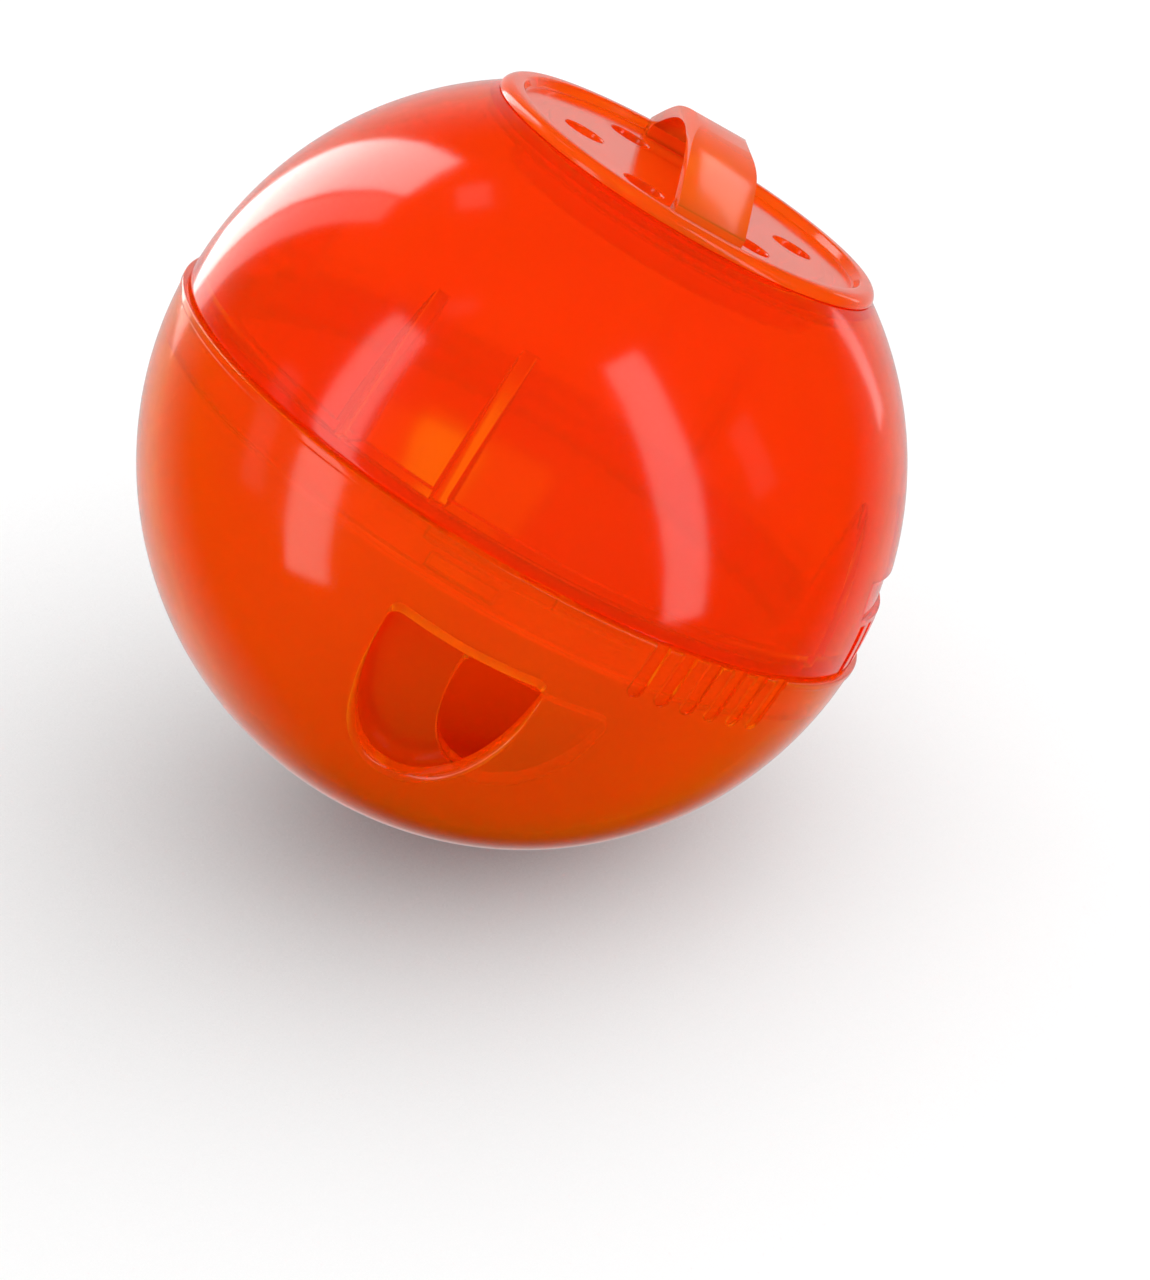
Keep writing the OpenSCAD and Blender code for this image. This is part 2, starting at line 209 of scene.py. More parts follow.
class Bench:
    """Modelling steps on one piece at a time, all in millimetres."""

    @staticmethod
    def pick(*pieces: Solid) -> None:
        """Leaves only the given pieces selected, the first one active."""
        if bpy.context.object and bpy.context.object.mode != "OBJECT":
            bpy.ops.object.mode_set(mode="OBJECT")
        bpy.ops.object.select_all(action="DESELECT")
        for piece in pieces:
            piece.select_set(True)
        bpy.context.view_layer.objects.active = pieces[0]

    @staticmethod
    def added(name: str, primitive: Callable[..., object], **sizes: object) -> Solid:
        """Adds a primitive with nothing else selected, and names it."""
        bpy.ops.object.select_all(action="DESELECT")
        primitive(**sizes)
        piece = bpy.context.object
        piece.name = name
        return piece

    @staticmethod
    def ring(name: str, points: Sequence[Sequence[float]], filled: bool) -> Solid:
        """Adds a circle with one vertex for each point, and moves each vertex to its point.

        Args:
            name: Name of the new piece.
            points: Where the vertices go.
            filled: Whether the ring gets a face.

        Returns:
            The new piece.
        """
        fill = "NGON" if filled else "NOTHING"
        circle = bpy.ops.mesh.primitive_circle_add
        piece = Bench.added(name, circle, vertices=len(points), radius=1.0, fill_type=fill)
        piece.data.name = name
        for vertex, point in zip(piece.data.vertices, points):
            vertex.co = point
        return piece

    @staticmethod
    @contextmanager
    def editing() -> Iterator[None]:
        """Opens the active piece for edits, with all of it selected."""
        bpy.ops.object.mode_set(mode="EDIT")
        bpy.ops.mesh.select_all(action="SELECT")
        yield
        bpy.ops.object.mode_set(mode="OBJECT")

    @staticmethod
    def clean(piece: Solid) -> None:
        """Merges doubled vertices and turns every face outwards."""
        Bench.pick(piece)
        with Bench.editing():
            bpy.ops.mesh.remove_doubles(threshold=MERGE_MM)
            bpy.ops.mesh.normals_make_consistent(inside=False)

    @staticmethod
    def turned(name: str, outline: Sequence[Point]) -> Solid:
        """Spins a closed outline round the ball's axis.

        Args:
            name: Name of the new piece.
            outline: Distance from the axis and height of each point.

        Returns:
            The closed, turned solid.
        """
        piece = Bench.ring(name, [(r, 0.0, z) for r, z in outline], filled=False)
        with Bench.editing():
            bpy.ops.mesh.spin(steps=ROUND_STEPS, angle=math.tau, center=(0, 0, 0), axis=(0, 0, 1))
        Bench.clean(piece)
        return piece

    @staticmethod
    def tower(name: str, rings: Sequence[Sequence[Vector]]) -> Solid:
        """Builds a closed solid through rings with equally many points, by extruding one face.

        Args:
            name: Name of the new piece.
            rings: The rings from one end to the other.

        Returns:
            The closed solid.
        """
        piece = Bench.ring(name, rings[0], filled=True)
        with Bench.editing():
            for ring, place in zip(rings, rings[1:]):
                targets = {tuple(round(c, 4) for c in old): new for old, new in zip(ring, place)}
                bpy.ops.mesh.extrude_region_move()
                mesh = bmesh.from_edit_mesh(piece.data)
                for vertex in mesh.verts:
                    if vertex.select:
                        vertex.co = targets[tuple(round(c, 4) for c in vertex.co)]
                bmesh.update_edit_mesh(piece.data)
        Bench.clean(piece)
        return piece

    @staticmethod
    def prism(name: str, outline: Sequence[Point], ends: Point) -> Solid:
        """Builds a straight block from front to back.

        Args:
            name: Name of the new piece.
            outline: X and Z of each point.
            ends: How far in front of the ball's axis the block's two ends lie.

        Returns:
            The closed block.
        """
        return Bench.tower(name, [[Vector((x, -y, z)) for x, z in outline] for y in ends])

    @staticmethod
    def arc_block(
        name: str, radii: Point, heights: Point, centre_deg: float, before: float, after: float
    ) -> Solid:
        """A block bent round the ball's axis.

        Args:
            name: Name of the new piece.
            radii: Inner and outer radius.
            heights: Lower and upper height.
            centre_deg: Angle round the ball that the block is set at.
            before: Degrees that the block reaches back from there.
            after: Degrees that the block reaches on from there.

        Returns:
            The closed block.
        """
        count = max(2, math.ceil((before + after) / STEP_DEG))
        grid = bpy.ops.mesh.primitive_grid_add
        piece = Bench.added(name, grid, x_subdivisions=count, y_subdivisions=1, size=2)
        with Bench.editing():
            bpy.ops.mesh.extrude_region_move(TRANSFORM_OT_translate={"value": (0, 0, 1)})
        for vertex in piece.data.vertices:
            share = (vertex.co.x + 1) / 2
            angle = math.radians(centre_deg - before + share * (before + after))
            radius = radii[1] if vertex.co.y > 0 else radii[0]
            height = heights[1] if vertex.co.z > 0.5 else heights[0]
            vertex.co = (radius * math.sin(angle), -radius * math.cos(angle), height)
        Bench.clean(piece)
        return piece

    @staticmethod
    def ball(name: str, radius: float) -> Solid:
        """A finely divided ball, used only to shape a tool."""
        sphere = bpy.ops.mesh.primitive_uv_sphere_add
        return Bench.added(
            name, sphere, segments=ROUND_STEPS, ring_count=BALL_RINGS, radius=radius
        )

    @staticmethod
    def copies(piece: Solid, angles: Sequence[float]) -> list[Solid]:
        """Copies a piece, each copy with its own mesh, and turns the copies round the ball.

        Args:
            piece: The piece at the first angle, which stays.
            angles: Turns of the copies, in degrees.

        Returns:
            The piece and its copies.
        """
        made = [piece]
        for angle in angles:
            Bench.pick(piece)
            bpy.ops.object.duplicate(linked=False)
            twin = bpy.context.object
            twin.data.transform(Matrix.Rotation(math.radians(angle), 4, "Z"))
            made.append(twin)
        return made

    @staticmethod
    def together(pieces: Sequence[Solid]) -> Solid:
        """Joins pieces that don't touch into one object."""
        Bench.pick(*pieces)
        if len(pieces) > 1:
            bpy.ops.object.join()
        return pieces[0]

    @staticmethod
    def work(piece: Solid, tool: Solid, cut: Cut, angles: Sequence[float] = ()) -> None:
        """Cuts a piece with a tool body, or adds the tool to it, and throws the tool away.

        Args:
            piece: The piece that is worked.
            tool: The tool body.
            cut: What the tool does.
            angles: Turns of further copies of the tool that work at the same time, in degrees.
        """
        tool = Bench.together(Bench.copies(tool, angles))
        Bench.pick(piece)
        modifier = piece.modifiers.new("work", "BOOLEAN")
        modifier.operation = cut.value
        modifier.solver = "EXACT"
        modifier.object = tool
        bpy.ops.object.modifier_apply(modifier=modifier.name)
        mesh = tool.data
        bpy.data.objects.remove(tool)
        bpy.data.meshes.remove(mesh)

    @staticmethod
    def soften(piece: Solid, width: float, segments: int, angle_deg: float) -> None:
        """Rounds every edge that is sharper than an angle.

        Args:
            piece: The piece.
            width: Width of the rounding.
            segments: Steps in the rounding.
            angle_deg: Smallest angle that is rounded.
        """
        Bench.pick(piece)
        modifier = piece.modifiers.new("soften", "BEVEL")
        modifier.width = width
        modifier.segments = segments
        modifier.limit_method = "ANGLE"
        modifier.angle_limit = math.radians(angle_deg)
        modifier.miter_outer = "MITER_ARC"
        bpy.ops.object.modifier_apply(modifier=modifier.name)

    @staticmethod
    def finish(piece: Solid, smooth_deg: float = 28.0) -> None:
        """Brings a piece to metres, with smooth faces and crisp edges.

        Args:
            piece: The piece, in millimetres.
            smooth_deg: Angle up to which neighbouring faces are shaded as one surface.
        """
        Bench.clean(piece)
        piece.data.transform(Matrix.Scale(METRES_PER_MM, 4))
        piece.data.update()
        Bench.pick(piece)
        bpy.ops.object.shade_smooth_by_angle(angle=math.radians(smooth_deg))


# ---- Windows and grips, shared by the shells


@dataclass(frozen=True)
class Window:
    """A dispensing window through a round wall.

    Args:
        angle: Where the first window is centred.
        lats: Latitudes of its top and bottom.
        arc: Width in degrees round the ball.
        corner: Radius of the two top corners.
        lip: Rounding of the outer edge along the bottom.
        top_lip: Rounding of the outer edge along the flat top.
        lip_run: Height over which the one rounding grows into the other.
        lip_bends: Angles at which the rounding gets a ring, from the bore outwards.
        tool_in: How far the tool reaches in past the wall.
        tool_out: How far it reaches out past the wall.
        tool_flare: How much it widens on that way out.
    """

    angle: float
    lats: Point
    arc: float = 25.0
    corner: float = 1.2
    lip: float = 0.9
    top_lip: float = 0.25
    lip_run: float = 7.0
    lip_bends: tuple[float, ...] = (0.0, 20.0, 40.0, 58.0, 74.0)
    tool_in: float = 1.0
    tool_out: float = 3.0
    tool_flare: float = 0.4

    def tool(self, outer_r: float, inner_r: float) -> Solid:
        """Makes the tool that cuts the first window, its flared mouth included.

        Args:
            outer_r: Outer radius of the wall.
            inner_r: Inner radius of the wall.

        Returns:
            The tool body.
        """
        middle = math.radians(sum(self.lats) / 2)
        half_h = outer_r * math.sin(math.radians(self.lats[0] - self.lats[1]) / 2)
        top_r = outer_r * math.cos(math.radians(self.lats[0]))
        half_w = top_r * math.sin(math.radians(self.arc) / 2)
        outline = window_outline(half_w, 2 * half_h, self.corner)
        normals = outward(outline)
        turn = Matrix.Rotation(math.radians(self.angle), 3, "Z")
        across = turn @ Vector((1, 0, 0))
        up = turn @ Vector((0, math.sin(middle), math.cos(middle)))
        out = turn @ Vector((0, -math.cos(middle), math.sin(middle)))

        def lip_at(height: float) -> float:
            """The rounding at a height over the flat top."""
            share = max(0.0, min(1.0, -height / self.lip_run))
            return self.top_lip + (self.lip - self.top_lip) * share * share * (3 - 2 * share)

        def ring_at(
            radius_at: Callable[[float], float], shift: Callable[[float], float]
        ) -> list[Vector]:
            """The outline on a sphere, spread out by a shift that follows the rounding."""
            ring = []
            for (u, v), normal in zip(outline, normals):
                lip = lip_at(v)
                x, y = u + normal.x * shift(lip), v + half_h + normal.y * shift(lip)
                radius = radius_at(lip)
                w = math.sqrt(radius * radius - x * x - y * y)
                ring.append(across * x + up * y + out * w)
            return ring

        rings = [ring_at(lambda lip: inner_r - self.tool_in, lambda lip: 0.0)]
        for a in map(math.radians, self.lip_bends):
            rings.append(
                ring_at(
                    lambda lip, a=a: outer_r - lip * (1 - math.sin(a)),
                    lambda lip, a=a: lip * (1 - math.cos(a)),
                )
            )
        last = math.radians(self.lip_bends[-1])
        rings.append(
            ring_at(
                lambda lip: outer_r + self.tool_out,
                lambda lip: lip * (1 - math.cos(last)) + self.tool_flare,
            )
        )
        return Bench.tower("window_tool", rings)


@dataclass(frozen=True)
class Grip:
    """A row of finger grooves in a shell's outer face.

    Args:
        angle: Where the grip is centred.
        heights: Lower and upper height of the grooves.
        grooves: Number of grooves.
        pitch: Degrees from groove to groove.
        width: Width of a groove.
        depth: Depth of a groove.
        round_low: Whether the lower ends are round.
        tool_in: How far the tool starts inside the shell.
        tool_out: How far it reaches out of the shell.
        bends: Straight pieces in a round end.
    """

    angle: float
    heights: Point
    grooves: int = 6
    pitch: float = 4.85
    width: float = 1.6
    depth: float = 0.4
    round_low: bool = True
    tool_in: float = 3.0
    tool_out: float = 2.0
    bends: int = 8

    def tool(self, radius: float) -> Solid:
        """Makes the tool that cuts the grip.

        Args:
            radius: Outer radius of the shell.

        Returns:
            The tool body, whose floor follows the shell.
        """
        half = self.width / 2
        low, high = self.heights
        if self.round_low:
            angles = [math.pi + math.pi * i / self.bends for i in range(self.bends + 1)]
            foot = [(half * math.cos(a), low + half + half * math.sin(a)) for a in angles]
        else:
            foot = [(-half, low), (half, low)]
        outline = foot + [(half, high), (-half, high)]
        ends = (radius - self.tool_in, radius + self.tool_out)
        first = Bench.prism("groove_tool", outline, ends)
        start = self.angle - (self.grooves - 1) / 2 * self.pitch
        first.data.transform(Matrix.Rotation(math.radians(start), 4, "Z"))
        turns = [i * self.pitch for i in range(1, self.grooves)]
        tool = Bench.together(Bench.copies(first, turns))
        Bench.work(tool, Bench.ball("groove_floor", radius - self.depth), Cut.AWAY)
        return tool


# ---- Shader building


class Signal:
    """A shader socket that takes part in Python arithmetic."""

    def __init__(self, graph: "Graph", socket: Socket) -> None:
        """Wraps a node's output socket."""
        self.graph = graph
        self.socket = socket

    def _math(self, operation: str, first: object, second: object) -> "Signal":
        """Adds one Math node for an operation on two values."""
        node = self.graph.node("ShaderNodeMath", {"operation": operation}, {0: first, 1: second})
        return Signal(self.graph, node.outputs[0])

    def __add__(self, other: object) -> "Signal":
        """self + other."""
        return self._math("ADD", self, other)

    def __radd__(self, other: object) -> "Signal":
        """other + self."""
        return self._math("ADD", other, self)

    def __sub__(self, other: object) -> "Signal":
        """self - other."""
        return self._math("SUBTRACT", self, other)

    def __rsub__(self, other: object) -> "Signal":
        """other - self."""
        return self._math("SUBTRACT", other, self)

    def __mul__(self, other: object) -> "Signal":
        """self * other."""
        return self._math("MULTIPLY", self, other)

    def __rmul__(self, other: object) -> "Signal":
        """other * self."""
        return self._math("MULTIPLY", other, self)

    def above(self, edge: float, width: float) -> "Signal":
        """Rises smoothly from 0 to 1 over a width round an edge."""
        inputs = {"Value": self, "From Min": edge - width / 2, "From Max": edge + width / 2}
        node = self.graph.node("ShaderNodeMapRange", {"interpolation_type": "SMOOTHSTEP"}, inputs)
        return Signal(self.graph, node.outputs["Result"])


class Graph:
    """The node tree of one material or world."""

    def __init__(self, tree: bpy.types.NodeTree) -> None:
        """Empties a node tree and takes it over."""
        self.tree = tree
        tree.nodes.clear()

    def node(self, kind: str, settings: dict[str, object], inputs: dict[object, object]) -> Node:
        """Adds a node.

        Args:
            kind: The node's type.
            settings: Its settings, set before its sockets.
            inputs: The values or links of its sockets, by name or place.

        Returns:
            The node.
        """
        node = self.tree.nodes.new(kind)
        for key, value in settings.items():
            setattr(node, key, value)
        for key, value in inputs.items():
            if isinstance(value, Signal):
                value = value.socket
            if isinstance(value, Socket):
                self.tree.links.new(value, node.inputs[key])
            else:
                node.inputs[key].default_value = value
        return node

    def coordinates(self, scale: Sequence[float]) -> Socket:
        """Object coordinates, multiplied along each axis."""
        source = self.node("ShaderNodeTexCoord", {}, {})
        inputs = {"Vector": source.outputs["Object"], "Scale": scale}
        return self.node("ShaderNodeMapping", {}, inputs).outputs["Vector"]

    def noise(
        self, scale: float, detail: float, warp: float, stretch: Sequence[float] = (1, 1, 1)
    ) -> Signal:
        """A noise pattern on the piece.

        Args:
            scale: Features per metre.
            detail: Octaves of finer noise.
            warp: Distortion.
            stretch: Multiplier along each axis.

        Returns:
            The pattern, round 0.5.
        """
        place = self.coordinates(stretch)
        inputs = {"Vector": place, "Scale": scale, "Detail": detail, "Distortion": warp}
        node = self.node("ShaderNodeTexNoise", {}, inputs)
        return Signal(self, node.outputs["Fac"])

    def blend(self, share: object, first: object, second: object) -> Socket:
        """Mixes two colours."""
        node = self.node("ShaderNodeMix", {"data_type": "RGBA"}, {0: share, 6: first, 7: second})
        return node.outputs[2]

    def vector(self, operation: str, first: object, second: object) -> Node:
        """Adds one Vector Math node for an operation on two vectors."""
        return self.node("ShaderNodeVectorMath", {"operation": operation}, {0: first, 1: second})

    def mix(self, share: object, first: Node, second: Node) -> Node:
        """Mixes two shaders."""
        inputs = {0: share, 1: first.outputs[0], 2: second.outputs[0]}
        return self.node("ShaderNodeMixShader", {}, inputs)


@dataclass(frozen=True)
class TranslucentPlastic:
    """Polished, tinted plastic that is clear enough to show what lies behind it.

    Args:
        name: Name of the finish.
        tint: What one wall lets through.
        deep: The same where the moulding's flow has left more dye.
        clear: Share of the light that goes through instead of being scattered back.
        frost: Roughness of the plastic's skin.
        haze: How much that roughness varies.
        scuffing: Roughness that the finest scratches add.
        ripple: Depth of the moulding's faint ripple, in metres.
        speck: Height of the finest grain, in metres.
        scratch: Depth of the scratches, in metres.
        ior: Refractive index.
    """

    name: str
    tint: Colour
    deep: Colour
    clear: float = 0.86
    frost: float = 0.12
    haze: float = 0.05
    scuffing: float = 0.03
    ripple: float = 3e-5
    speck: float = 1e-7
    scratch: float = 2e-7
    ior: float = 1.49

    def make(self) -> bpy.types.Material:
        """Builds the material.

        Returns:
            The material.
        """
        material = bpy.data.materials.new(self.name)
        material.use_nodes = True
        graph = Graph(material.node_tree)
        flow = graph.noise(38.0, 3.0, 1.4, (1.0, 1.0, 0.45))
        cloud = graph.noise(120.0, 4.0, 0.3)
        specks = graph.noise(2600.0, 2.0, 0.0)
        scuffs = graph.noise(900.0, 3.0, 2.2, (1.0, 0.12, 0.3)).above(0.66, 0.05)
        share = (flow * 0.7 + cloud * 0.3).above(0.5, 0.35)
        colour = graph.blend(share, (*self.tint, 1.0), (*self.deep, 1.0))
        rough = self.frost + self.haze * (cloud - 0.5) + self.scuffing * scuffs
        wave = graph.noise(170.0, 1.0, 0.2)
        height = wave * self.ripple + specks * self.speck - scuffs * self.scratch
        relief = {"Strength": 1.0, "Distance": 1.0, "Height": height}
        bump = graph.node("ShaderNodeBump", {}, relief)
        surface = graph.node(
            "ShaderNodeBsdfPrincipled",
            {},
            {
                "Base Color": colour,
                "Roughness": rough,
                "Transmission Weight": self.clear,
                "IOR": self.ior,
                "Normal": bump.outputs["Normal"],
            },
        )
        graph.node("ShaderNodeOutputMaterial", {}, {"Surface": surface.outputs["BSDF"]})
        return material


UPPER_PLASTIC = TranslucentPlastic("red_shell_plastic", (1.0, 0.135, 0.001), (1.0, 0.12, 0.001))
LOWER_PLASTIC = TranslucentPlastic("red_lower_plastic", (1.0, 0.24, 0.002), (1.0, 0.21, 0.0015))
# The amber hue is the bowl's own; its red, set a little below the shells' full red, is painted
# shade, so the inside of the ball reads darker than the shells.
BOWL_PLASTIC = TranslucentPlastic(
    "amber_bowl_plastic_painted_shade", (0.96, 0.28, 0.003), (0.93, 0.25, 0.002), clear=0.94
)
CAP_PLASTIC = TranslucentPlastic(
    "bright_cap_plastic", (1.0, 0.15, 0.003), (1.0, 0.135, 0.002), clear=0.58
)
STRAP_PLASTIC = TranslucentPlastic(
    "strap_plastic", (1.0, 0.18, 0.01), (1.0, 0.16, 0.009), clear=0.55
)


# ---- The pieces


@dataclass
class Piece:
    """What every moulded piece of the ball has in common.

    Args:
        node: The CAD node that the piece stands for.
        body: The body that it rides on.
        slot: The record's material slot; not used.
        finish: Its plastic.
    """

    node: str
    body: str
    slot: str
    finish: TranslucentPlastic

    def model(self) -> Solid:
        """Models the piece in millimetres."""
        raise NotImplementedError

    def build(self) -> Solid:
        """Models, finishes and dresses the piece, and sets it on its body.

        Returns:
            The finished piece.
        """
        piece = self.model()
        piece.name = self.node + "_moulding"
        piece.data.name = piece.name
        Bench.finish(piece)
        piece.data.materials.clear()
        piece.data.materials.append(self.finish.make())
        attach(piece, self.body)
        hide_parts(self.node)
        LOG.info("%s: %d faces", piece.name, len(piece.data.polygons))
        return piece


@dataclass
class LowerShell(Piece):
    """The outer lower half, with its windows, rim bead, grooves and stop lugs."""

    radius: float = 38.0
    wall: float = 1.7
    rim_z: float = 0.35
    bead: float = 0.14
    bead_foot_z: float = -0.55
    bead_slope: float = 0.22
    bore_z: float = -4.35
    window: Window = field(default_factory=lambda: Window(-4.0, (-13.4, -41.5)))
    grip: Grip = field(default_factory=lambda: Grip(32.0, (-5.45, 2.0)))
    lug_radii: Point = (34.85, 36.9)
    lug_heights: Point = (-1.25, -0.25)
    lug_arc: float = 6.6
    lug_angle: float = -0.2

    def model(self) -> Solid:
        """Turns the shell, cuts windows and grooves, and adds the lugs."""
        inner = self.radius - self.wall
        corners = sphere_arc(self.radius, -self.radius, self.bead_foot_z)
        corners += [
            Corner(self.radius + self.bead, self.bead_foot_z + self.bead_slope, 0.12),
            Corner(self.radius + self.bead, self.rim_z, 0.2),
            Corner(inner, self.rim_z, 0.15),
            Corner(inner, self.bore_z),
        ]
        corners += sphere_arc(inner, self.bore_z, -inner)
        shell = Bench.turned("lower_shell", rounded(corners))
        Bench.work(shell, self.window.tool(self.radius, inner), Cut.AWAY, HALF_TURN)
        Bench.work(shell, self.grip.tool(self.radius), Cut.AWAY)
        half = self.lug_arc / 2
        lug = Bench.arc_block("lug", self.lug_radii, self.lug_heights, self.lug_angle, half, half)
        Bench.work(shell, lug, Cut.ONTO, QUARTER_TURNS)
        return shell


@dataclass
class UpperShell(Piece):
    """The outer upper half, with its neck, fins, skirt, grooves and thumb recesses."""

    radius: float = 37.6
    wall: float = 1.6
    seam_z: float = 0.65
    seat_z: float = 31.323
    seat_r: float = 20.8
    neck_r: float = 19.05
    ledge_top_z: float = 30.103
    ledge_low_z: float = 28.603
    bore_r: float = 17.0
    neck_out_r: float = 20.6
    skirt_r: float = 36.05
    skirt_in_r: float = 34.65
    skirt_z: float = -4.0
    band_z: float = 2.65
    slot_heights: Point = (-1.45, -0.05)
    slot_before: float = 17.8
    slot_after: float = 16.9
    tab_heights: Point = (-3.62, -2.18)
    tab_angle: float = -10.3
    tab_arc: float = 11.4
    lug_angle: float = -0.2
    fin_angles: Point = (-36.9, -19.1)
    fin_thickness: float = 1.6
    fin_inner_r: float = 31.8
    fin_heights: Point = (1.2, 20.0)
    fin_edge: float = 0.25
    slot_in: float = 0.12
    slot_out: float = 0.25
    grip: Grip = field(default_factory=lambda: Grip(76.5, (-1.0, 5.85), round_low=False))
    thumb_heights: Point = (6.35, 10.35)
    thumb_depth: float = 0.5
    thumb_corner: float = 0.5
    thumb_in: float = 4.0
    thumb_out: float = 2.0

    def fins(self) -> Solid:
        """Models the four pairs of fins."""
        made = []
        for angle in self.fin_angles:
            fin = Bench.added("fin", bpy.ops.mesh.primitive_cube_add, size=1.0)
            foot, top = self.fin_heights
            size = (self.fin_thickness, self.radius - self.fin_inner_r, top - foot)
            place = (0, -(self.radius + self.fin_inner_r) / 2, (top + foot) / 2)
            fin.data.transform(Matrix.LocRotScale(Vector(place), None, Vector(size)))
            Bench.soften(fin, self.fin_edge, 3, 30)
            fin.data.transform(Matrix.Rotation(math.radians(angle), 4, "Z"))
            made += Bench.copies(fin, QUARTER_TURNS)
        fins = Bench.together(made)
        Bench.work(fins, Bench.ball("fin_limit", self.radius - self.wall / 2), Cut.SHARED)
        return fins

    def thumb_tool(self) -> Solid:
        """Makes the tool for the recess over a grip."""
        half = self.radius * math.sin(math.radians(self.grip.grooves * self.grip.pitch / 2))
        low, high = self.thumb_heights
        corners = ((-half, low), (half, low), (half, high), (-half, high))
        outline = rounded([Corner(x, z, self.thumb_corner) for x, z in corners])
        ends = (self.radius - self.thumb_in, self.radius + self.thumb_out)
        tool = Bench.prism("thumb_tool", outline, ends)
        tool.data.transform(Matrix.Rotation(math.radians(self.grip.angle), 4, "Z"))
        Bench.work(tool, Bench.ball("thumb_floor", self.radius - self.thumb_depth), Cut.AWAY)
        return tool

    def model(self) -> Solid:
        """Turns the dome, adds the fins, and cuts slots, grooves and recesses."""
        inner = self.radius - self.wall
        corners = [on_sphere(self.radius, self.seam_z, 0.25)]
        corners += sphere_arc(self.radius, self.seam_z + 0.6, self.seat_z - 0.5)
        corners += [
            Corner(self.seat_r, self.seat_z, 0.3),
            Corner(self.neck_r, self.seat_z, 0.2),
            Corner(self.neck_r, self.ledge_top_z, 0.15),
            Corner(self.bore_r, self.ledge_top_z, 0.3),
            Corner(self.bore_r, self.ledge_low_z, 0.3),
            Corner(self.neck_out_r, self.ledge_low_z, 0.3),
        ]
        neck_meets_z = math.sqrt(inner * inner - self.neck_out_r * self.neck_out_r)
        corners += sphere_arc(inner, neck_meets_z, self.band_z)
        corners += [
            Corner(self.skirt_in_r, self.band_z, 0.3),
            Corner(self.skirt_in_r, self.skirt_z, 0.2),
            Corner(self.skirt_r, self.skirt_z, 0.3),
            Corner(self.skirt_r, self.seam_z, 0.15),
        ]
        shell = Bench.turned("upper_shell", rounded(corners))
        Bench.work(shell, self.fins(), Cut.ONTO)
        radii = (self.skirt_in_r - self.slot_in, self.skirt_r + self.slot_out)
        before, after, half = self.slot_before, self.slot_after, self.tab_arc / 2
        for tool in (
            Bench.arc_block("slot", radii, self.slot_heights, self.lug_angle, before, after),
            Bench.arc_block("tab_slot", radii, self.tab_heights, self.tab_angle, half, half),
        ):
            Bench.work(shell, tool, Cut.AWAY, QUARTER_TURNS)
        Bench.work(shell, self.grip.tool(self.radius), Cut.AWAY)
        Bench.work(shell, self.thumb_tool(), Cut.AWAY)
        return shell


@dataclass
class ShutterBowl(Piece):
    """The inner bowl whose windows the lower shell's windows turn past."""

    radius: float = 35.95
    wall: float = 1.3
    shoulder_z: float = -4.0
    collar_r: float = 34.53
    collar_in_r: float = 33.33
    collar_z: float = 1.2
    slope_z: float = -5.03
    window: Window = field(
        default_factory=lambda: Window(9.1, (-15.4, -36.4), lip=0.35, top_lip=0.2)
    )
    tab_r: float = 35.43
    tab_root: float = 0.6
    tab_heights: Point = (-3.5, -2.3)
    tab_angle: float = -10.3
    tab_arc: float = 10.4

    def model(self) -> Solid:
        """Turns the bowl, cuts its windows and adds the snap tabs."""
        inner = self.radius - self.wall
        corners = sphere_arc(self.radius, -self.radius, self.shoulder_z - 0.5)
        corners += [
            on_sphere(self.radius, self.shoulder_z, 0.25),
            Corner(self.collar_r, self.shoulder_z, 0.1),
            Corner(self.collar_r, self.collar_z, 0.3),
            Corner(self.collar_in_r, self.collar_z, 0.3),
            Corner(self.collar_in_r, self.shoulder_z, 0.5),
        ]
        corners += sphere_arc(inner, self.slope_z, -inner)
        bowl = Bench.turned("shutter_bowl", rounded(corners))
        Bench.work(bowl, self.window.tool(self.radius, inner), Cut.AWAY, HALF_TURN)
        radii, half = (self.collar_r - self.tab_root, self.tab_r), self.tab_arc / 2
        tab = Bench.arc_block("tab", radii, self.tab_heights, self.tab_angle, half, half)
        Bench.work(bowl, tab, Cut.ONTO, QUARTER_TURNS)
        return bowl


